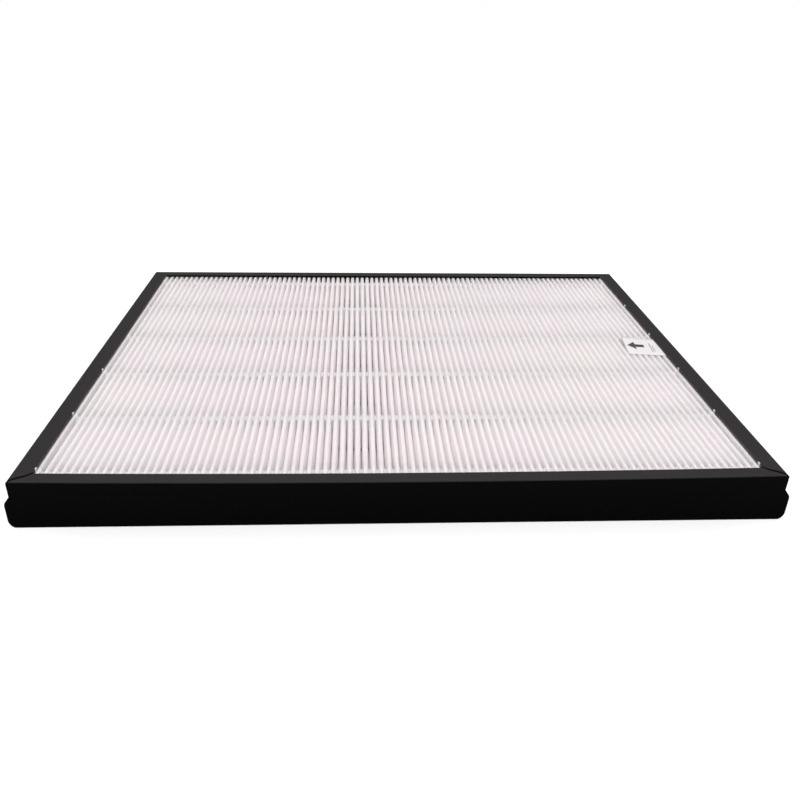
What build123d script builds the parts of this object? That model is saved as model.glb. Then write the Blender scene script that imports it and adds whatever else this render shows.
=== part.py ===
from build123d import *
import math
import os

# Pleated fine-dust filter panel lying flat, in millimetres.
# The origin is the centre of the underside. X runs across the pleats, Y runs along
# them towards the back, and Z runs up through the panel.

# Frame: folded strips with a wall and an inward flange at top and bottom
panel_length = 340.0
panel_depth = 280.0
panel_height = 24.0
frame_wall = 1.0
side_flange = 9.0
front_flange = 7.0
back_flange = 8.4
edge_radius = 0.9
lower_edge_chamfer = 0.5
front_bow = 2.3

# Guide rail: the lower part of each side stands out past the upper part
rail_step = 2.8
rail_height = 12.8
rail_slope_height = 3.5
rail_shoulder_radius = 4.0
rail_radius = 4.2

# Pleated sheet
sheet = 0.5
fold_inner_radius = 0.35
pleat_spacing = 3.56
pack_side_fit = 0.2
outer_fold_steps = 4
inner_fold_steps = 1

# Glue beads across the pleats, on both faces
bead_count = 6
bead_width = 2.4
bead_strand = 0.35
bead_front_offset = 11.1
bead_back_offset = 16.9
tooth_depth = 12.0
glue_fit = 0.03

# Sealant between the pleated sheet and the frame
end_seal = 0.6
side_seal_height = 8.0

# Pull tab tucked under the right flange, in front of one of the beads
tab_width = 24.0
tab_reach = 20.5
tab_tuck = 6.0
tab_thickness = 0.25
tab_bead = 4
tab_bead_gap = 5.6
tab_lean = 6.0
tab_corner_radius = 1.5

# An end strip is made longer than the panel, then trimmed a hair proud of the side strips
trim_allowance = 5.0
trim_margin = 0.02

# Places worked out from the sizes above
half_length = panel_length / 2
half_depth = panel_depth / 2
rail_x = half_length + rail_step
untrimmed_x = rail_x + trim_allowance
opening_x = half_length - side_flange
front_opening_y = front_flange - half_depth
back_opening_y = half_depth - back_flange
inner_x = half_length - frame_wall
inner_y = half_depth - frame_wall
inner_top = panel_height - frame_wall
reach = panel_length + panel_depth

# The sheet runs from the lower strand to the upper one and from seal to seal
pack_x = inner_x - pack_side_fit
pack_y = inner_y - end_seal
underside_x = min(pack_x, rail_x - rail_radius)
tip_z = inner_top - bead_strand
root_z = frame_wall + bead_strand
fold_outer_radius = fold_inner_radius + sheet
fold_span = 2 * (pack_x + fold_inner_radius)
pleat_count = round(fold_span / pleat_spacing)
pleat_pitch = fold_span / pleat_count
ridge_z = tip_z - fold_outer_radius
valley_z = root_z + fold_outer_radius
bead_spacing = (panel_depth - bead_front_offset - bead_back_offset) / (bead_count - 1)


def panel_outline(inset):
    """Front view of the panel, moved inwards by inset, with its rails and rounded corners."""
    slope = math.atan2(rail_step, rail_slope_height)
    drop = inset * math.tan(slope / 2)
    right = [
        (rail_x - inset, inset),
        (rail_x - inset, rail_height - drop),
        (half_length - inset, rail_height + rail_slope_height - drop),
        (half_length - inset, panel_height - inset),
    ]
    left = [(-x, z) for x, z in reversed(right)]
    outline = make_face(Polyline(*right, *left, close=True))
    shoulders = outline.vertices().group_by(Axis.Y)[1]
    if rail_shoulder_radius > inset:
        outline = fillet(shoulders, rail_shoulder_radius - inset)
    low_corners = outline.vertices().group_by(Axis.Y)[0]
    if rail_radius > inset:
        outline = fillet(low_corners, rail_radius - inset)
    top_corners = outline.vertices().group_by(Axis.Y)[-1]
    if edge_radius > inset:
        outline = fillet(top_corners, edge_radius - inset)
    return Plane.XZ * outline


def outline_prism(inset):
    """The panel's front view run right through it from front to back."""
    return extrude(panel_outline(inset), amount=reach, both=True)


def mitre_x(from_end, end_flange):
    """Where the corner seam crosses a line that lies from_end inside an end face."""
    return half_length - side_flange * from_end / end_flange


def side_plan():
    """Top view of the right strip, between the end walls and the two corner seams."""
    return Polyline(
        (opening_x, front_opening_y),
        (mitre_x(frame_wall, front_flange), -inner_y),
        (reach, -inner_y),
        (reach, inner_y),
        (mitre_x(frame_wall, back_flange), inner_y),
        (opening_x, back_opening_y),
        close=True,
    )


def side_region():
    """Everything that belongs to the right strip rather than to an end strip."""
    return extrude(make_face(side_plan()), amount=panel_height)


def side_strip():
    """Right strip: stepped wall with an upper and a lower flange."""
    return (outline_prism(0) - outline_prism(frame_wall)) & side_region()


def end_line(y, bow, z):
    """Line across the front at height z, bowed outwards by bow between the two rails."""
    swing = bow * ((untrimmed_x / rail_x) ** 2 - 1)
    start = (-untrimmed_x, y + swing, z)
    end = (untrimmed_x, y + swing, z)
    if bow == 0:
        return Line(start, end)
    control = (0, y - swing - 2 * bow, z)
    return Bezier(start, control, end)


def end_band(outer, inner, outer_bow, inner_bow, z):
    """Flat face at height z between two lines across the front."""
    front = end_line(outer, outer_bow, z)
    rear = end_line(inner, inner_bow, z)
    ends = [Line(front @ 0, rear @ 0), Line(front @ 1, rear @ 1)]
    return make_face([front, rear, *ends])


def end_slab(outer, inner, low, high, bow, inner_follows=True):
    """Wall or flange across the front, whose bow grows from the bottom of the panel up."""
    sections = []
    for z in (low, high):
        here = bow * z / panel_height
        sections.append(end_band(outer, inner, here, here if inner_follows else 0, z))
    return loft(sections, ruled=True)


def outer_long_edge(strip, level):
    """The edge along the outside of an end strip, at its bottom (0) or at its top (-1)."""
    long_edges = strip.edges().filter_by(lambda edge: edge.length > panel_length)
    return long_edges.group_by(Axis.Z)[level].sort_by(Axis.Y)[0]


def end_strip(flange, bow):
    """Strip across the front: a flat wall trimmed to the side outline, and two flanges."""
    wall = end_slab(-half_depth, -inner_y, 0, panel_height, bow)
    flange_start = -half_depth + frame_wall / 2
    flange_end = -half_depth + flange
    bottom = end_slab(flange_start, flange_end, 0, frame_wall, bow)
    top = end_slab(flange_start, flange_end, inner_top, panel_height, bow)
    strip = wall + bottom + top
    strip = fillet(outer_long_edge(strip, -1), edge_radius)
    strip = chamfer(outer_long_edge(strip, 0), lower_edge_chamfer)
    return strip & outline_prism(-trim_margin)


def front_strip():
    """Front strip, its top edge bowed outwards, cut at the corner seams."""
    strip = end_strip(front_flange, front_bow)
    return strip - side_region() - mirror(side_region(), Plane.YZ)


def back_strip():
    """Back strip, straight, cut at the corner seams."""
    strip = mirror(end_strip(back_flange, 0), Plane.XZ)
    return strip - side_region() - mirror(side_region(), Plane.YZ)


def panel_lean():
    """Angle between a straight stretch of the sheet and upright, between two folds."""
    half_pitch = pleat_pitch / 2
    rise = ridge_z - valley_z
    neutral_radius = fold_inner_radius + sheet / 2
    run = math.hypot(half_pitch, rise)
    return math.acos(2 * neutral_radius / run) - math.atan2(rise, half_pitch)


def fold_points(x, z, radius, steps, upward):
    """Points round one fold, from left to right, over the top or under the bottom."""
    lean = panel_lean()
    side = 1 if upward else -1
    points = []
    for step in range(steps + 1):
        angle = math.pi - lean - (math.pi - 2 * lean) * step / steps
        points.append((x + radius * math.cos(angle), z + side * radius * math.sin(angle)))
    return points


def sheet_face(ridge_radius, ridge_steps, valley_radius, valley_steps):
    """One face of the folded sheet in the front view, from its left end to its right end."""
    lean = panel_lean()
    left_x = -fold_span / 2
    end_x = valley_radius * math.cos(lean)
    end_z = valley_z - valley_radius * math.sin(lean)
    points = [(left_x + end_x, end_z)]
    for index in range(pleat_count):
        ridge_x = left_x + (index + 0.5) * pleat_pitch
        points += fold_points(ridge_x, ridge_z, ridge_radius, ridge_steps, True)
        if index < pleat_count - 1:
            valley_x = left_x + (index + 1) * pleat_pitch
            points += fold_points(valley_x, valley_z, valley_radius, valley_steps, False)
    points.append((-left_x - end_x, end_z))
    return points


def pleated_sheet():
    """One sheet folded over and under across the whole panel."""
    upper = sheet_face(fold_outer_radius, outer_fold_steps, fold_inner_radius, inner_fold_steps)
    lower = sheet_face(fold_inner_radius, inner_fold_steps, fold_outer_radius, outer_fold_steps)
    section = make_face(Polyline(*upper, *reversed(lower), close=True))
    return extrude(Plane.XZ * section, amount=pack_y, both=True)


def tooth_half_width():
    """Half the width of a glue tooth where it leaves the strand, clear of both ridges."""
    shoulder_gap = pleat_pitch / 2 - fold_outer_radius - glue_fit
    return shoulder_gap / (1 - fold_outer_radius / tooth_depth)


def comb_section():
    """Front view of a glue bead: a strand over the ridges with a tooth between each pair."""
    half = tooth_half_width()
    points = [(-pack_x, inner_top), (-pack_x, tip_z)]
    for index in range(1, pleat_count):
        x = index * pleat_pitch - fold_span / 2
        points += [(x - half, tip_z), (x, tip_z - tooth_depth), (x + half, tip_z)]
    points += [(pack_x, tip_z), (pack_x, inner_top)]
    return make_face(Polyline(*points, close=True))


def bead_y(index):
    """Distance of a bead line from the centre of the panel."""
    return bead_front_offset + index * bead_spacing - half_depth


def top_bead(index):
    """Glue bead on the upper face, with teeth that hold the ridges apart."""
    comb = extrude(Plane.XZ * comb_section(), amount=bead_width / 2, both=True)
    return Pos(0, bead_y(index), 0) * comb


def bottom_bead(index):
    """Glue bead on the lower face, a plain strand under the folds."""
    centre = Pos(0, bead_y(index), frame_wall + bead_strand / 2)
    return centre * Box(2 * underside_x, bead_width, bead_strand)


def pack_block():
    """The space between the side walls, from the lower flange to the upper one."""
    return Pos(0, 0, panel_height / 2) * Box(2 * underside_x, reach, inner_top - frame_wall)


def front_seal():
    """Sealant that bonds the pleat ends to the bowed front wall."""
    slab = end_slab(glue_fit - inner_y, -pack_y, frame_wall, inner_top, front_bow, False)
    return slab & pack_block()


def back_seal():
    """Sealant that bonds the pleat ends to the straight back wall."""
    slab = end_slab(-inner_y, -pack_y, frame_wall, inner_top, 0)
    return mirror(slab & pack_block(), Plane.XZ)


def side_seal():
    """Sealant in the hollow of the right rail, beside the last leg of the sheet."""
    start_x = pack_x + glue_fit
    width = rail_x - start_x
    height = side_seal_height - frame_wall
    corner = Pos(start_x + width / 2, 0, frame_wall + height / 2) * Box(width, 2 * pack_y, height)
    return corner & outline_prism(frame_wall + glue_fit)


def pull_tab():
    """Woven ribbon tab that lies on the ridges, its root under the right flange."""
    length = tab_reach + tab_tuck
    ribbon = RectangleRounded(length, tab_width, tab_corner_radius)
    bead_front = bead_y(tab_bead - 1) - bead_width / 2
    root = Pos(opening_x, bead_front - tab_bead_gap - tab_width / 2, tip_z)
    turned = Rot(0, 0, -tab_lean) * Pos(tab_tuck - length / 2, 0, 0) * ribbon
    return extrude(root * turned, amount=tab_thickness)


def build_parts():
    """Every piece of the panel by name."""
    right = side_strip()
    right_seal = side_seal()
    parts = {
        "frame_front": front_strip(),
        "frame_back": back_strip(),
        "frame_right": right,
        "frame_left": mirror(right, Plane.YZ),
        "pleated_media": pleated_sheet(),
        "end_seal_front": front_seal(),
        "end_seal_back": back_seal(),
        "side_seal_right": right_seal,
        "side_seal_left": mirror(right_seal, Plane.YZ),
        "pull_tab": pull_tab(),
    }
    for index in range(bead_count):
        parts[f"top_bead_{index + 1}"] = top_bead(index)
        parts[f"bottom_bead_{index + 1}"] = bottom_bead(index)
    return parts


os.makedirs("parts", exist_ok=True)
for name, part in build_parts().items():
    export_step(part, f"parts/{name}.step")
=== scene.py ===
import math
import random

import bpy
from mathutils import Matrix, Vector


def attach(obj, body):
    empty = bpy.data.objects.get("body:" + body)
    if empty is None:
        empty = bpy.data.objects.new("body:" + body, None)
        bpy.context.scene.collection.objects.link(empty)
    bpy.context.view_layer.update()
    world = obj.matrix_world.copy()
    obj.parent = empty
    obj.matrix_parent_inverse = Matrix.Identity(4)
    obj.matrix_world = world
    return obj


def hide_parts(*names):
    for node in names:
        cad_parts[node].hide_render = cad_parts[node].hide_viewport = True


# Pleated filter panel. Lengths are in metres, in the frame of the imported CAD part:
# X across the pleats, Y along them towards the back, Z up.

# Frame
HEIGHT = 0.024
INNER_TOP = 0.023
INNER_BOTTOM = 0.001
OPENING_X = 0.161
HALF_X = 0.170
HALF_Y = 0.140
FRONT_FLANGE = 0.007

# Folded sheet
PLEATS = 95
PACK_X = 0.1688
PACK_FRONT = -0.1384
PACK_BACK = 0.1384
TIP_Z = 0.02265
ROOT_Z = 0.00135
FOLD_OUTER = 0.00096
FOLD_INNER = 0.00035
RIDGE_Z = TIP_Z - FOLD_OUTER
VALLEY_Z = ROOT_Z + FOLD_OUTER
FOLD_SPAN = 2 * (PACK_X + FOLD_INNER)
PITCH = FOLD_SPAN / PLEATS

# Ridges are flattened arches, and the walls below them bulge outwards
RIDGE_POWER = 2.7
RIDGE_STEPS = (-1.0, -0.97, -0.88, -0.72, -0.4, 0.0, 0.4, 0.72, 0.88, 0.97, 1.0)
WALL_STEPS = (0.03, 0.08, 0.16, 0.28, 0.46, 0.7, 0.9)
WALL_BULGE = 0.0005
BULGE_HIGH = 0.6
VALLEY_STEPS = 8

# Ridges drift sideways and sink a little between the beads, less so in the outer pleats
STATIONS = 32
SHEET_SEED = 7
DRIFT_KEPT = 0.6
SIDE_DRIFT = 0.00010
SINK_DRIFT = 0.00005
FREE_REACH = 0.012
HELD_PLEATS = 2

# Glue beads
BEADS = 6
FIRST_BEAD_Y = -0.1289
BEAD_SPACING = 0.0504
BEAD_LINES = [FIRST_BEAD_Y + BEAD_SPACING * k for k in range(BEADS)]
BEAD_HALF = 0.0013
BEAD_WOBBLE = 0.00012
FIRST_BEAD_REACH = 0.0052
TOP_SEED = 100
BOTTOM_SEED = 150

# Strand of a bead: how deep it sags in the gaps, its cross-section, and its widths as
# shares of the half width
GLUE_EDGE = 0.0006
GLUE_SAG = 0.0009
SAG_POWER = 0.8
STRAND_SUNK = 0.00003
STRAND_STEPS = 10
STRAND_ROWS = (-1.0, -0.7, -0.35, 0.0, 0.35, 0.7, 1.0)
STRAND_FRONT_DEPTH = 0.0016
STRAND_BACK_DEPTH = 0.0012
STRAND_ROUND = 0.00016
GAP_ROUND = 0.0009
STRAND_WIDTH = 0.85
STRAND_SWELL_BACK = 0.25
STRAND_SWELL_FRONT = 1.1
FRONT_TUCK = 0.96
BACK_TUCK = 0.9

# Teeth of a bead: webs that cling to both walls of a gap, thin halfway between them
TOOTH_DEPTH = 0.012
TOOTH_COLUMNS = (-1.0, -0.6, 0.0, 0.6, 1.0)
TOOTH_LEVELS = 8
TOOTH_BITE = 0.00008
TOOTH_SUNK = 0.0001
TOOTH_HOLLOW = 0.18
TOOTH_TAPER = 0.35
TOOTH_THIN = 0.75
TOOTH_THICKENING = 0.9
TOOTH_FLARE = 0.0022
FLARE_THIN = 0.35
TOOTH_DEPTH_RANGE = (0.85, 1.0)
TOOTH_WIDTH_RANGE = (0.85, 1.1)

# Drops of glue on the inner edges of the side flanges
LEFT_DROPS = 3
RIGHT_DROPS = 5
DROP_SETBACK = 0.0003
DROP_INSET = 0.0001
EDGE_DROP = (0.0004, 0.001, 0.001)
TOP_DROP = (0.0005, 0.0009, 0.00015)
DROP_SIDES = 10
DROP_LEVELS = 6

# Pull tab
TAB_WIDTH = 0.024
TAB_LENGTH = 0.0265
TAB_TUCK = 0.006
TAB_Y = 0.0035
TAB_LEAN = math.radians(6)
TAB_THICK = 0.00025
TAB_GAP = 0.00004
TAB_CURL = 0.0004
CURL_START = 0.30
CURL_POWER = 1.6
CURL_FRONT = 0.75
CURL_RISE = 0.35
TAB_RIPPLE = 0.00012
RIPPLE_TURNS = (3.1, 2.0)
TAB_COLUMNS = 30
TAB_ROWS = 26

# Print on the tab, in units of 0.1 m from the flange and across the ribbon:
# each oblong is its middle and its half size
PRINT_UNITS = 10
PRINT_MIDDLE = 0.507
ARROW_SHAFT = ((0.117, PRINT_MIDDLE), (0.0270, 0.0200))
ARROW_HEAD = ((0.167, PRINT_MIDDLE), (0.0250, 0.0600))
ARROW_TIP = 0.189
ARROW_SLOPE = 0.85
LONG_BAR = ((0.052, 0.487), (0.0040, 0.066))
SHORT_BAR = ((0.038, 0.475), (0.0030, 0.045))

# Colours of the black strips, all one plastic: the flanges carry painted light, the walls
# painted shade that deepens at the foot, the inner edges painted light that lifts their shade,
# and the corner seams are dark joints
# Painted light: level faces of the plastic get this lighter grey, as if lit from above
LIT_FLANGE_TONES = ((0.0277, 0.025, 0.026), (0.0382, 0.0345, 0.036))
FLANGE_WORN = (0.0243, 0.022, 0.023)
# Painted shade: upright faces of the same plastic get this near black
SHADED_WALL_TONES = ((0.0012, 0.0011, 0.0012), (0.0021, 0.0020, 0.0021))
# Painted shade: the walls darken to this at the foot
WALL_FOOT_SHADE = (0.0004, 0.0004, 0.0004)
# Painted light: the upright inner edges of the opening are lifted to this paler tone against
# their shade
PAINTED_EDGE_LIGHT = (0.12, 0.11, 0.114)
SEAM_TONE = (0.0025, 0.002, 0.0025)

# Extents of the marks on the black strips: the painted light on the inner edges, the corner
# seams, and the tilts that part the lit level faces from the shaded upright ones
EDGE_HALF = 0.0004
EDGE_END = 0.0015
SEAM_HALF = 0.0009
SEAM_WAVE = 0.0004
SEAM_WAVE_LENGTH = 0.009
SEAM_BOTTOM = 0.0225
UPRIGHT_LIMIT = 0.35
LEVEL_LIMIT = 0.95

# Colours of the white parts and the sealant
SHEET_TONES = ((0.975, 0.948, 0.96), (0.98, 0.955, 0.96), (0.978, 0.962, 0.952))
SHEET_STREAK = (0.975, 0.96, 0.965)
SHEET_FIBRE = (0.92, 0.89, 0.90)
SHEET_THROUGH = (0.995, 0.988, 0.99)
GLUE_TONES = ((0.81, 0.785, 0.79), (0.85, 0.825, 0.83))
GLUE_THROUGH = (0.99, 0.975, 0.98)
SEALANT_TONES = ((0.016, 0.015, 0.016), (0.034, 0.032, 0.033))
RIBBON_TONES = ((0.83, 0.80, 0.81), (0.86, 0.83, 0.835))
RIBBON_THREAD = (0.76, 0.73, 0.74)
RIBBON_THROUGH = (0.97, 0.95, 0.95)
PRINT_GREY = (0.22, 0.21, 0.22)
PRINT_DARK = (0.075, 0.068, 0.072)

# Floor: its white glow is weak near the panel, where the shadow lies, and full further out
FLOOR_HALF = 2.4
FLOOR_TONES = ((0.72, 0.72, 0.72), (0.76, 0.76, 0.76))
GLOW_NEAR = 0.2
GLOW_FAR = 0.5
GLOW_WEAK = 0.2
GLOW_FULL = 1.0

# World light, and the lamps: name, place, size and power in watts
WORLD_TONE = (1.0, 0.99, 0.985, 1.0)
WORLD_STRENGTH = 0.30
WHITE = (1.0, 1.0, 1.0, 1.0)
LAMPS = (
    ("overhead", (0.0, 0.45, 1.5), (1.2, 1.2), 4.5),
    ("front", (-0.05, -2.75, 3.25), (0.75, 1.75), 184.0),
    ("back", (0.1, 1.5, 1.0), (1.4, 0.7), 3.5),
)

# Light bounces many times between the white walls of a gap
ALL_BOUNCES = 40
GAP_BOUNCES = 36

# Camera: its right, up and back directions, its place and its lens
CAMERA_RIGHT = (0.99877212, -0.04547015, 0.01966537)
CAMERA_UP = (0.00360197, 0.46255668, 0.8865824)
CAMERA_BACK = (-0.04940938, -0.88542294, 0.46215249)
CAMERA_PLACE = (-0.020807, -0.423855, 0.210621)
CAMERA_SENSOR = 36.0
CAMERA_LENS = 35.235
CAMERA_SHIFT = 0.003375
CAMERA_RANGE = (0.01, 50.0)


class Shader:
    """A node material built step by step."""

    def __init__(self, name):
        self.material = bpy.data.materials.new(name)
        self.material.use_nodes = True
        self.nodes = self.material.node_tree.nodes
        self.links = self.material.node_tree.links
        self.surface = self.nodes["Principled BSDF"]
        self.coords = self.nodes.new("ShaderNodeTexCoord").outputs["Object"]

    def link(self, source, target):
        self.links.new(source, target)

    def noise(self, scale, detail, roughness, coords=None):
        node = self.nodes.new("ShaderNodeTexNoise")
        node.inputs["Scale"].default_value = scale
        node.inputs["Detail"].default_value = detail
        node.inputs["Roughness"].default_value = roughness
        self.link(coords or self.coords, node.inputs["Vector"])
        return node.outputs["Fac"]

    def stretched(self, scale):
        node = self.nodes.new("ShaderNodeMapping")
        node.inputs["Scale"].default_value = scale
        self.link(self.coords, node.inputs["Vector"])
        return node.outputs["Vector"]

    def ramp(self, factor, places, colours):
        node = self.nodes.new("ShaderNodeValToRGB")
        elements = node.color_ramp.elements
        while len(elements) < len(colours):
            elements.new(0.5)
        for element, place, colour in zip(elements, places, colours):
            element.position = place
            element.color = (*colour, 1.0)
        self.link(factor, node.inputs["Fac"])
        return node.outputs["Color"]

    def math(self, operation, first, second=0.0):
        node = self.nodes.new("ShaderNodeMath")
        node.operation = operation
        for socket, value in zip(node.inputs, (first, second)):
            if isinstance(value, (int, float)):
                socket.default_value = value
            else:
                self.link(value, socket)
        return node.outputs[0]

    def rescale(self, value, low, high, first=0.0, last=1.0):
        """Value that runs from first to last while the input runs from low to high."""
        node = self.nodes.new("ShaderNodeMapRange")
        limits = {"From Min": low, "From Max": high, "To Min": first, "To Max": last}
        for name, limit in limits.items():
            node.inputs[name].default_value = limit
        self.link(value, node.inputs["Value"])
        return node.outputs["Result"]

    def mix(self, factor, first, second):
        node = self.nodes.new("ShaderNodeMix")
        node.data_type = "RGBA"
        colours = [s for s in node.inputs if s.type == "RGBA"]
        for socket, value in zip([node.inputs[0], *colours], (factor, first, second)):
            if isinstance(value, tuple):
                socket.default_value = (*value, 1.0)
            else:
                self.link(value, socket)
        return [s for s in node.outputs if s.type == "RGBA"][0]

    def split(self, source):
        node = self.nodes.new("ShaderNodeSeparateXYZ")
        self.link(source, node.inputs[0])
        return node.outputs

    def within(self, x, y, oblong):
        """1 inside an oblong and 0 outside it."""
        inside = []
        for value, middle, half in zip((x, y), *oblong):
            off = self.math("ABSOLUTE", self.math("SUBTRACT", value, middle))
            inside.append(self.math("LESS_THAN", off, half))
        return self.math("MULTIPLY", *inside)

    def colour(self, source):
        self.link(source, self.surface.inputs["Base Color"])

    def gloss(self, roughness, specular):
        self.surface.inputs["Roughness"].default_value = roughness
        self.surface.inputs["Specular IOR Level"].default_value = specular

    def bump(self, height, strength, distance):
        node = self.nodes.new("ShaderNodeBump")
        node.inputs["Strength"].default_value = strength
        node.inputs["Distance"].default_value = distance
        self.link(height, node.inputs["Height"])
        self.link(node.outputs["Normal"], self.surface.inputs["Normal"])

    def let_light_through(self, share, colour):
        """Part of the light goes through the thin piece and spreads on the far side."""
        through = self.nodes.new("ShaderNodeBsdfTranslucent")
        through.inputs["Color"].default_value = (*colour, 1.0)
        mixer = self.nodes.new("ShaderNodeMixShader")
        mixer.inputs["Fac"].default_value = share
        self.link(self.surface.outputs[0], mixer.inputs[1])
        self.link(through.outputs[0], mixer.inputs[2])
        self.show(mixer)

    def show(self, node):
        self.link(node.outputs[0], self.nodes["Material Output"].inputs["Surface"])


def seam_distance(s, x, y):
    """Distance from the line that runs from a corner of the opening to a corner of the panel."""
    aside = s.math("SUBTRACT", s.math("ABSOLUTE", x), OPENING_X)
    ahead = s.math("SUBTRACT", FRONT_FLANGE - HALF_Y, y)
    turns = s.math("MULTIPLY", aside, 2 * math.pi / SEAM_WAVE_LENGTH)
    wave = s.math("MULTIPLY", s.math("SINE", turns), SEAM_WAVE)
    straight = s.math("MULTIPLY", aside, FRONT_FLANGE / (HALF_X - OPENING_X))
    return s.math("ABSOLUTE", s.math("SUBTRACT", ahead, s.math("ADD", straight, wave)))


def levelness(s):
    """1 where a face is level, and 0 where it stands upright."""
    normal = s.nodes.new("ShaderNodeNewGeometry").outputs["Normal"]
    tilt = s.math("ABSOLUTE", s.split(normal)["Z"])
    return s.rescale(tilt, UPRIGHT_LIMIT, LEVEL_LIMIT)


def strip_colour(s, grain):
    """Grey flanges, nearly black walls that darken to the foot, and paler inner edges: one
    plastic, with painted light on the level faces and inner edges and painted shade on the
    upright walls and their feet.
    """
    x, y, z = s.split(s.coords)
    patches = s.noise(scale=60, detail=3, roughness=0.6)
    # Painted light: grey for the level flanges
    flange = s.ramp(grain, (0.3, 0.75), LIT_FLANGE_TONES)
    flange = s.mix(s.math("MULTIPLY", patches, 0.45), flange, FLANGE_WORN)
    # Painted shade: near black for the upright walls, darker towards the foot
    wall = s.ramp(grain, (0.3, 0.75), SHADED_WALL_TONES)
    wall = s.mix(s.math("MULTIPLY", z, 1 / HEIGHT), WALL_FOOT_SHADE, wall)
    level = levelness(s)
    # Level faces take the painted light, upright faces the painted shade
    base = s.mix(level, wall, flange)
    # Painted light on the upright inner edges of the opening, against their shade
    edge = ((OPENING_X, 0.0), (EDGE_HALF, HALF_Y - EDGE_END))
    lit_edge_mask = s.within(s.math("ABSOLUTE", x), y, edge)
    upright = s.math("LESS_THAN", level, 0.5)
    base = s.mix(s.math("MULTIPLY", lit_edge_mask, upright), base, PAINTED_EDGE_LIGHT)
    seam = s.math("LESS_THAN", seam_distance(s, x, y), SEAM_HALF)
    high = s.math("GREATER_THAN", z, SEAM_BOTTOM)
    return s.mix(s.math("MULTIPLY", seam, high), base, SEAM_TONE)


def black_plastic():
    """Matte black strip with a fine grain, painted light on its level faces and inner edges,
    painted shade on its walls, and a dark seam at each front corner.
    """
    s = Shader("black_plastic")
    grain = s.noise(scale=5200, detail=3, roughness=0.7)
    s.colour(strip_colour(s, grain))
    s.gloss(roughness=0.6, specular=0.02)
    s.bump(grain, strength=0.35, distance=0.00006)
    return s.material


def filter_sheet():
    """White fibre sheet with a faint warm and pink drift."""
    s = Shader("filter_sheet")
    drift = s.noise(scale=14, detail=3, roughness=0.6)
    streaks = s.noise(scale=1, detail=3, roughness=0.6, coords=s.stretched((260, 16, 16)))
    fibre = s.noise(scale=2600, detail=4, roughness=0.7)
    tone = s.ramp(drift, (0.3, 0.55, 0.75), SHEET_TONES)
    tone = s.mix(s.math("MULTIPLY", streaks, 0.30), tone, SHEET_STREAK)
    s.colour(s.mix(s.math("MULTIPLY", fibre, 0.08), tone, SHEET_FIBRE))
    s.gloss(roughness=0.92, specular=0.1)
    s.bump(fibre, strength=0.25, distance=0.00005)
    s.let_light_through(0.5, SHEET_THROUGH)
    return s.material


def hot_melt_glue():
    """Milky glue, slightly glossy, with small blobs."""
    s = Shader("hot_melt_glue")
    blobs = s.noise(scale=420, detail=3, roughness=0.5)
    s.colour(s.ramp(blobs, (0.3, 0.7), GLUE_TONES))
    s.gloss(roughness=0.7, specular=0.15)
    s.bump(blobs, strength=0.2, distance=0.0001)
    s.let_light_through(0.5, GLUE_THROUGH)
    return s.material


def sealant():
    """Dark sealant with a lumpy skin."""
    s = Shader("sealant")
    lumps = s.noise(scale=300, detail=4, roughness=0.6)
    s.colour(s.ramp(lumps, (0.3, 0.7), SEALANT_TONES))
    s.gloss(roughness=0.6, specular=0.3)
    s.bump(lumps, strength=0.4, distance=0.0003)
    return s.material


def tab_print(s, cloth):
    """A dark arrow that points to the free end of the tab, and two grey bars behind it."""
    flat = s.nodes.new("ShaderNodeUVMap")
    flat.uv_map = "flat"
    place = s.split(flat.outputs["UV"])
    along, over = place["X"], place["Y"]
    aside = s.math("ABSOLUTE", s.math("SUBTRACT", over, PRINT_MIDDLE))
    to_tip = s.math("SUBTRACT", ARROW_TIP, along)
    head = s.math("LESS_THAN", s.math("MULTIPLY", aside, ARROW_SLOPE), to_tip)
    head = s.math("MULTIPLY", head, s.within(along, over, ARROW_HEAD))
    arrow = s.math("MAXIMUM", s.within(along, over, ARROW_SHAFT), head)
    long_bar = s.within(along, over, LONG_BAR)
    bars = s.math("MAXIMUM", long_bar, s.within(along, over, SHORT_BAR))
    barred = s.mix(s.math("MULTIPLY", bars, 0.7), cloth, PRINT_GREY)
    return s.mix(arrow, barred, PRINT_DARK)


def ribbon():
    """White woven ribbon."""
    s = Shader("woven_ribbon")
    weave = s.nodes.new("ShaderNodeTexChecker")
    weave.inputs["Scale"].default_value = 3600
    s.link(s.coords, weave.inputs["Vector"])
    threads = weave.outputs["Fac"]
    soft = s.noise(scale=180, detail=3, roughness=0.6)
    cloth = s.ramp(soft, (0.3, 0.7), RIBBON_TONES)
    cloth = s.mix(s.math("MULTIPLY", threads, 0.10), cloth, RIBBON_THREAD)
    s.colour(tab_print(s, cloth))
    s.gloss(roughness=0.8, specular=0.2)
    s.bump(threads, strength=0.3, distance=0.00004)
    s.let_light_through(0.25, RIBBON_THROUGH)
    return s.material


def floor_glow(s):
    """White that only the camera sees, weaker around the panel."""
    distance = s.nodes.new("ShaderNodeVectorMath")
    distance.operation = "LENGTH"
    s.link(s.coords, distance.inputs[0])
    far = s.rescale(distance.outputs["Value"], GLOW_NEAR, GLOW_FAR, GLOW_WEAK, GLOW_FULL)
    seen = s.nodes.new("ShaderNodeLightPath").outputs["Is Camera Ray"]
    glow = s.nodes.new("ShaderNodeEmission")
    s.link(s.math("MULTIPLY", seen, far), glow.inputs["Strength"])
    return glow


def pale_floor():
    """Pale floor that looks white to the camera and keeps its shadow."""
    s = Shader("pale_floor")
    cloud = s.noise(scale=3, detail=2, roughness=0.5)
    s.colour(s.ramp(cloud, (0.0, 1.0), FLOOR_TONES))
    s.gloss(roughness=1.0, specular=0.0)
    both = s.nodes.new("ShaderNodeAddShader")
    s.link(s.surface.outputs[0], both.inputs[0])
    s.link(floor_glow(s).outputs[0], both.inputs[1])
    s.show(both)
    return s.material


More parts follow.
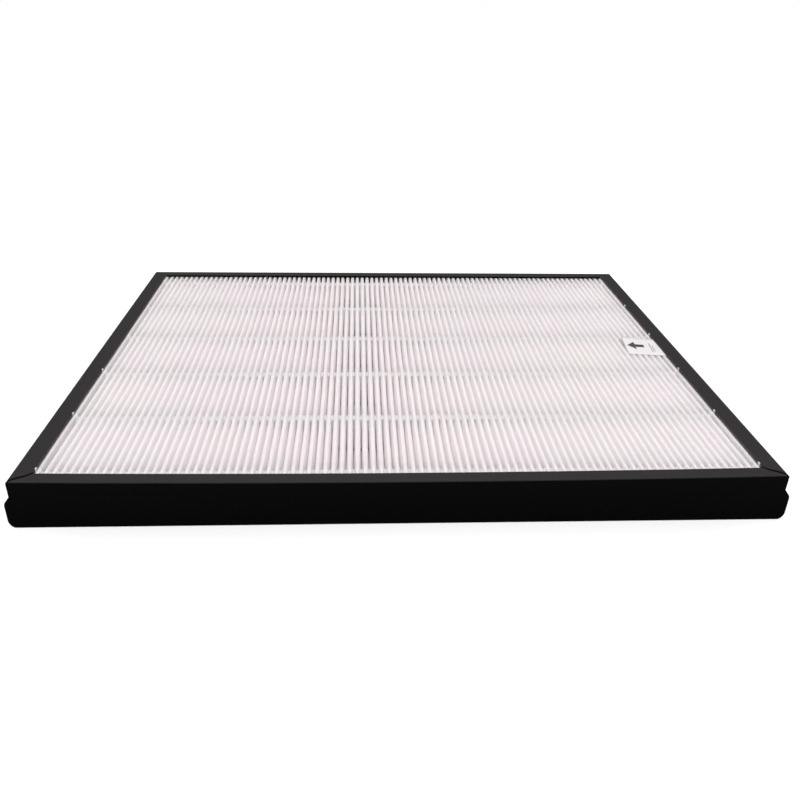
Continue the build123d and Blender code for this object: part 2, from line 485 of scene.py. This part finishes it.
def new_object(name, verts, faces, smooth=True):
    mesh = bpy.data.meshes.new(name)
    mesh.from_pydata(verts, [], faces)
    mesh.update()
    if smooth:
        mesh.polygons.foreach_set("use_smooth", [True] * len(mesh.polygons))
    piece = bpy.data.objects.new(name, mesh)
    bpy.context.scene.collection.objects.link(piece)
    return piece


def join_rows(start, rows, size):
    """Quads between each open row of points and the next one."""
    faces = []
    for i in range(rows - 1):
        a = start + i * size
        b = a + size
        faces += [(a + j, a + j + 1, b + j + 1, b + j) for j in range(size - 1)]
    return faces


def join_rings(start, rings, size):
    """Quads between each closed ring of points and the next one."""
    faces = []
    for i in range(rings - 1):
        a = start + i * size
        b = a + size
        for j in range(size):
            m = (j + 1) % size
            faces.append((a + j, b + j, b + m, a + m))
    return faces


def smooth_noise(rng, count, amount):
    """Random values that drift slowly from one to the next."""
    values = []
    here = 0.0
    for _ in range(count):
        here = DRIFT_KEPT * here + rng.uniform(-amount, amount)
        values.append(here)
    return values


def ridge_drop(d):
    """How far a ridge lies below its tip, at a distance from its middle."""
    share = min(1.0, abs(d) / FOLD_OUTER)
    return FOLD_OUTER * (1 - (1 - share ** RIDGE_POWER) ** (1 / RIDGE_POWER))


def wall_x(share):
    """Distance of a wall from the middle of its ridge, at a share of the way down."""
    straight = FOLD_OUTER + (PITCH / 2 - 2 * FOLD_OUTER) * share
    return straight + WALL_BULGE * math.sin(math.pi * share ** BULGE_HIGH)


def ridge_points(middle, number):
    """The arch of a ridge, from left to right."""
    reaches = [step * FOLD_OUTER for step in RIDGE_STEPS]
    return [(middle + d, TIP_Z - ridge_drop(d), number) for d in reaches]


def wall_points(middle, side, number):
    """The wall on one side of a ridge, from its top down."""
    fall = VALLEY_Z - RIDGE_Z
    return [(middle + side * wall_x(t), RIDGE_Z + fall * t, number) for t in WALL_STEPS]


def valley_points(middle, number):
    """The round bottom of a valley, from left to right."""
    points = []
    for i in range(VALLEY_STEPS + 1):
        angle = math.pi * (1 + i / VALLEY_STEPS)
        x = middle + FOLD_OUTER * math.cos(angle)
        z = VALLEY_Z + FOLD_OUTER * math.sin(angle)
        points.append((x, z, number))
    return points


def sheet_line():
    """The folded sheet seen from the front: (x, z, pleat number) from left to right."""
    points = [(-PACK_X, VALLEY_Z, 0)]
    for k in range(PLEATS):
        ridge = (k + 0.5) * PITCH - FOLD_SPAN / 2
        points += ridge_points(ridge, k)
        points += wall_points(ridge, 1, k)
        if k < PLEATS - 1:
            points += valley_points(ridge + PITCH / 2, k)
            points += reversed(wall_points(ridge + PITCH, -1, k))
    points.append((PACK_X, VALLEY_Z, PLEATS - 1))
    return points


def wander(rng):
    """How far each ridge drifts sideways and sinks at each station along it."""
    side = []
    sink = []
    for _ in range(PLEATS):
        side.append(smooth_noise(rng, STATIONS, SIDE_DRIFT))
        sink.append([abs(v) for v in smooth_noise(rng, STATIONS, SINK_DRIFT)])
    return side, sink


def sheet_points(section):
    """The front view repeated along the pleats, a little uneven between the beads."""
    side, sink = wander(random.Random(SHEET_SEED))
    middle = (TIP_Z + ROOT_Z) / 2
    half = (TIP_Z - ROOT_Z) / 2
    verts = []
    for j in range(STATIONS):
        y = PACK_FRONT + (PACK_BACK - PACK_FRONT) * j / (STATIONS - 1)
        free = min(1.0, min(abs(y - line) for line in BEAD_LINES) / FREE_REACH)
        for x, z, k in section:
            high = (z - middle) / half
            loose = min(k, PLEATS - 1 - k, HELD_PLEATS) / HELD_PLEATS
            dx = side[k][j] * free * loose * abs(high)
            dz = -sink[k][j] * free * high
            verts.append((x + dx, y, z + dz))
    return verts


def folded_sheet(material):
    """The whole sheet, folded over and under."""
    section = sheet_line()
    faces = join_rows(0, STATIONS, len(section))
    piece = new_object("pleated_sheet", sheet_points(section), faces)
    piece.data.materials.append(material)
    return piece


def crest(d):
    """Height of the glue at a distance from a ridge; it hangs lowest halfway to the next one."""
    beside = max(0.0, (abs(d) - FOLD_OUTER) / (PITCH / 2 - FOLD_OUTER))
    sag = TIP_Z - GLUE_EDGE - GLUE_SAG * beside ** SAG_POWER
    if abs(d) >= FOLD_OUTER:
        return sag
    return max(sag, TIP_Z - ridge_drop(d) - STRAND_SUNK)


def strand_ring(x, y, d, first):
    """A cut through the glue line, widest where it clings to the wall of a ridge."""
    near_wall = 1 - abs(abs(d) - FOLD_OUTER) / (PITCH / 2)
    behind = BEAD_HALF * (STRAND_WIDTH + STRAND_SWELL_BACK * near_wall ** 2)
    ahead = BEAD_HALF * (STRAND_WIDTH + STRAND_SWELL_FRONT * near_wall ** 3)
    if first:
        ahead = FIRST_BEAD_REACH
    front_round = GAP_ROUND if abs(d) > FOLD_OUTER else STRAND_ROUND
    top = crest(d)
    ring = [(x, y - ahead * FRONT_TUCK, top - STRAND_FRONT_DEPTH)]
    for c in STRAND_ROWS:
        if c < 0:
            ring.append((x, y + ahead * c, top - front_round * abs(c) ** 3))
        else:
            ring.append((x, y + behind * c, top - STRAND_ROUND * c * c))
    ring.append((x, y + behind * BACK_TUCK, top - STRAND_BACK_DEPTH))
    return ring


def glue_strand(index, rng):
    """The glue line across the pleats: a thin skin over each ridge, sagging in between."""
    wobble = smooth_noise(rng, PLEATS + 1, BEAD_WOBBLE)
    rings = PLEATS * STRAND_STEPS + 1
    verts = []
    for i in range(rings):
        k, step = divmod(i, STRAND_STEPS)
        t = step / STRAND_STEPS
        x = max(-PACK_X, min(PACK_X, (k + t) * PITCH - FOLD_SPAN / 2))
        y = BEAD_LINES[index] + wobble[k] * (1 - t) + wobble[min(k + 1, PLEATS)] * t
        verts += strand_ring(x, y, PITCH * (t - 0.5), index == 0)
    size = len(verts) // rings
    faces = join_rings(0, rings, size)
    faces.append(tuple(range(size)))
    faces.append(tuple(range(len(verts) - 1, len(verts) - size - 1, -1)))
    return verts, faces


def tooth_ring(x, y, depth, wide, t):
    """One level of a tooth: thick at the walls, hollow in the middle, flared ahead."""
    top = TIP_Z - GLUE_EDGE - GLUE_SAG - TOOTH_SUNK
    ring = []
    for side, order in ((-1, TOOTH_COLUMNS), (1, TOOTH_COLUMNS[::-1])):
        for u in order:
            z = top - depth * t * (1 - TOOTH_HOLLOW * (1 - u * u))
            down = (RIDGE_Z - z) / (RIDGE_Z - VALLEY_Z)
            gap = PITCH / 2 - wall_x(min(1.0, max(0.0, down)))
            thick = wide * (TOOTH_THIN + TOOTH_THICKENING * u * u) * (1 - TOOTH_TAPER * t * t)
            if side < 0:
                flare = FLARE_THIN + (1 - FLARE_THIN) * u * u
                thick += TOOTH_FLARE * flare * (1 - t) ** 3
            ring.append((x + u * (gap + TOOTH_BITE), y + side * thick, z))
    return ring


def glue_tooth(verts, faces, x, y, rng):
    """Web of glue that fills the width of one gap."""
    depth = TOOTH_DEPTH * rng.uniform(*TOOTH_DEPTH_RANGE)
    wide = BEAD_HALF * rng.uniform(*TOOTH_WIDTH_RANGE)
    start = len(verts)
    for i in range(TOOTH_LEVELS + 1):
        verts += tooth_ring(x, y, depth, wide, i / TOOTH_LEVELS)
    size = 2 * len(TOOTH_COLUMNS)
    last = start + size - 1
    faces += join_rings(start, TOOTH_LEVELS + 1, size)
    faces.append(tuple(range(len(verts) - 1, len(verts) - size - 1, -1)))
    for j in range(len(TOOTH_COLUMNS) - 1):
        faces.append((start + j, start + j + 1, last - j - 1, last - j))


def glue_drop(verts, faces, centre, radii):
    """Small rounded drop of glue."""
    start = len(verts)
    for i in range(DROP_LEVELS + 1):
        polar = math.pi * i / DROP_LEVELS
        for j in range(DROP_SIDES):
            angle = 2 * math.pi * j / DROP_SIDES
            out = math.sin(polar)
            point = (out * math.cos(angle), out * math.sin(angle), math.cos(polar))
            verts.append(tuple(c + r * p for c, r, p in zip(centre, radii, point)))
    faces += join_rings(start, DROP_LEVELS + 1, DROP_SIDES)


def flange_drops(verts, faces, index):
    """Drops where a bead ends on the side flanges: one on the edge and one on top."""
    y = BEAD_LINES[index] - DROP_SETBACK
    for side, count in ((-1, LEFT_DROPS), (1, RIGHT_DROPS)):
        if index < count:
            glue_drop(verts, faces, (side * (OPENING_X - DROP_INSET), y, INNER_TOP), EDGE_DROP)
            glue_drop(verts, faces, (side * OPENING_X, y, HEIGHT), TOP_DROP)


def glue_comb(index, material, upper):
    """One glue bead with its teeth, on the upper or the lower face."""
    rng = random.Random(index + (TOP_SEED if upper else BOTTOM_SEED))
    verts, faces = glue_strand(index, rng)
    for k in range(1, PLEATS):
        glue_tooth(verts, faces, k * PITCH - FOLD_SPAN / 2, BEAD_LINES[index], rng)
    if upper:
        flange_drops(verts, faces, index)
    else:
        verts = [(x, y, INNER_TOP + INNER_BOTTOM - z) for x, y, z in verts]
        faces = [tuple(reversed(face)) for face in faces]
    piece = new_object(f"glue_comb_{'top' if upper else 'bottom'}_{index + 1}", verts, faces)
    piece.data.materials.append(material)
    return piece


def tab_height(u, v):
    """Height of the ribbon above the ridges; its free end curls up a little."""
    free = max(0.0, (u - CURL_START) / (1 - CURL_START))
    curl = TAB_CURL * free ** CURL_POWER * (CURL_FRONT + CURL_RISE * v)
    ripple = TAB_RIPPLE * math.sin(RIPPLE_TURNS[0] * u + RIPPLE_TURNS[1] * v) ** 2
    return curl + ripple


def tab_points():
    """Points of the lower and then the upper face of the ribbon, and their places on it."""
    verts = []
    places = []
    for thick in (0.0, TAB_THICK):
        for i in range(TAB_COLUMNS + 1):
            for j in range(TAB_ROWS + 1):
                u = i / TAB_COLUMNS
                v = j / TAB_ROWS
                along = TAB_TUCK - TAB_LENGTH * u
                over = TAB_WIDTH * (v - 0.5)
                x = OPENING_X + along * math.cos(TAB_LEAN) + over * math.sin(TAB_LEAN)
                y = TAB_Y - along * math.sin(TAB_LEAN) + over * math.cos(TAB_LEAN)
                verts.append((x, y, TIP_Z + TAB_GAP + tab_height(u, v) + thick))
                places.append((-along * PRINT_UNITS, over * PRINT_UNITS + 0.5))
    return verts, places


def tab_faces():
    """Lower face, upper face and the rim between them."""
    size = TAB_ROWS + 1
    layer = (TAB_COLUMNS + 1) * size
    faces = [(a, d, c, b) for a, b, c, d in join_rows(0, TAB_COLUMNS + 1, size)]
    faces += join_rows(layer, TAB_COLUMNS + 1, size)
    rim = [i * size for i in range(TAB_COLUMNS)]
    rim += [TAB_COLUMNS * size + j for j in range(TAB_ROWS)]
    rim += [i * size + TAB_ROWS for i in range(TAB_COLUMNS, 0, -1)]
    rim += range(TAB_ROWS, 0, -1)
    faces += [(a, a + layer, b + layer, b) for a, b in zip(rim, rim[1:] + rim[:1])]
    return faces


def pull_tab(material):
    """Ribbon tab: its root is under the right flange and its free end lies on the ridges."""
    verts, places = tab_points()
    piece = new_object("pull_tab_ribbon", verts, tab_faces())
    flat = piece.data.uv_layers.new(name="flat")
    for loop in piece.data.loops:
        flat.data[loop.index].uv = places[loop.vertex_index]
    piece.data.materials.append(material)
    return piece


def area_light(name, place, size, power):
    """Oblong lamp that points at the middle of the panel."""
    data = bpy.data.lights.new(name, "AREA")
    data.shape = "RECTANGLE"
    data.size, data.size_y = size
    data.energy = power
    lamp = bpy.data.objects.new(name, data)
    lamp.location = place
    lamp.rotation_euler = (-Vector(place)).to_track_quat("-Z", "Y").to_euler()
    bpy.context.scene.collection.objects.link(lamp)


def set_camera():
    data = bpy.data.cameras.new("camera")
    data.sensor_width = CAMERA_SENSOR
    data.lens = CAMERA_LENS
    data.shift_x = CAMERA_SHIFT
    data.clip_start, data.clip_end = CAMERA_RANGE
    camera = bpy.data.objects.new("camera", data)
    rows = zip(CAMERA_RIGHT, CAMERA_UP, CAMERA_BACK, CAMERA_PLACE)
    camera.matrix_world = Matrix([*rows, (0.0, 0.0, 0.0, 1.0)])
    bpy.context.scene.collection.objects.link(camera)
    bpy.context.scene.camera = camera


def set_world():
    """Soft light from all around, where the camera sees plain white."""
    world = bpy.data.worlds.new("studio")
    world.use_nodes = True
    nodes = world.node_tree.nodes
    links = world.node_tree.links
    soft = nodes["Background"]
    soft.inputs["Color"].default_value = WORLD_TONE
    soft.inputs["Strength"].default_value = WORLD_STRENGTH
    white = nodes.new("ShaderNodeBackground")
    white.inputs["Color"].default_value = WHITE
    white.inputs["Strength"].default_value = 1.0
    path = nodes.new("ShaderNodeLightPath")
    mixer = nodes.new("ShaderNodeMixShader")
    links.new(path.outputs["Is Camera Ray"], mixer.inputs["Fac"])
    links.new(soft.outputs[0], mixer.inputs[1])
    links.new(white.outputs[0], mixer.inputs[2])
    links.new(mixer.outputs[0], nodes["World Output"].inputs["Surface"])
    bpy.context.scene.world = world


def set_stage():
    """Floor and lamps."""
    signs = ((-1, -1), (1, -1), (1, 1), (-1, 1))
    corners = [(FLOOR_HALF * x, FLOOR_HALF * y, 0) for x, y in signs]
    floor = new_object("floor", corners, [(0, 1, 2, 3)], smooth=False)
    floor.data.materials.append(pale_floor())
    for lamp in LAMPS:
        area_light(*lamp)


def solid_material(name):
    """Material of a node of the CAD part, by its name."""
    if name.startswith("frame_"):
        return plastic
    if "seal" in name:
        return dark
    if "bead" in name:
        return glue
    if name == "pull_tab":
        return woven
    return fibre


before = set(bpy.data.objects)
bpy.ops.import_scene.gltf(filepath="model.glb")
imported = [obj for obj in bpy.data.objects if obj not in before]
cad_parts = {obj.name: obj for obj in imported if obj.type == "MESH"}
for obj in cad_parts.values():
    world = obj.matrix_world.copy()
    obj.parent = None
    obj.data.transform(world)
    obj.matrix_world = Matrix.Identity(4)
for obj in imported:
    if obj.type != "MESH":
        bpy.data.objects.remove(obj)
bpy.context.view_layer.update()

scene = bpy.context.scene
scene.view_settings.view_transform = "Standard"
scene.cycles.max_bounces = ALL_BOUNCES
scene.cycles.diffuse_bounces = GAP_BOUNCES
scene.cycles.transmission_bounces = GAP_BOUNCES
set_camera()
set_world()
set_stage()

plastic = black_plastic()
fibre = filter_sheet()
glue = hot_melt_glue()
dark = sealant()
woven = ribbon()

for name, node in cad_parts.items():
    node.data.materials.clear()
    node.data.materials.append(solid_material(name))

media = folded_sheet(fibre)
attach(media, "root")
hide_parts("pleated_media")

for index in range(BEADS):
    comb = glue_comb(index, glue, True)
    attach(comb, "root")
    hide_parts(f"top_bead_{index + 1}")
    comb = glue_comb(index, glue, False)
    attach(comb, "root")
    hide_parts(f"bottom_bead_{index + 1}")

tab = pull_tab(woven)
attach(tab, "root")
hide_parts("pull_tab")
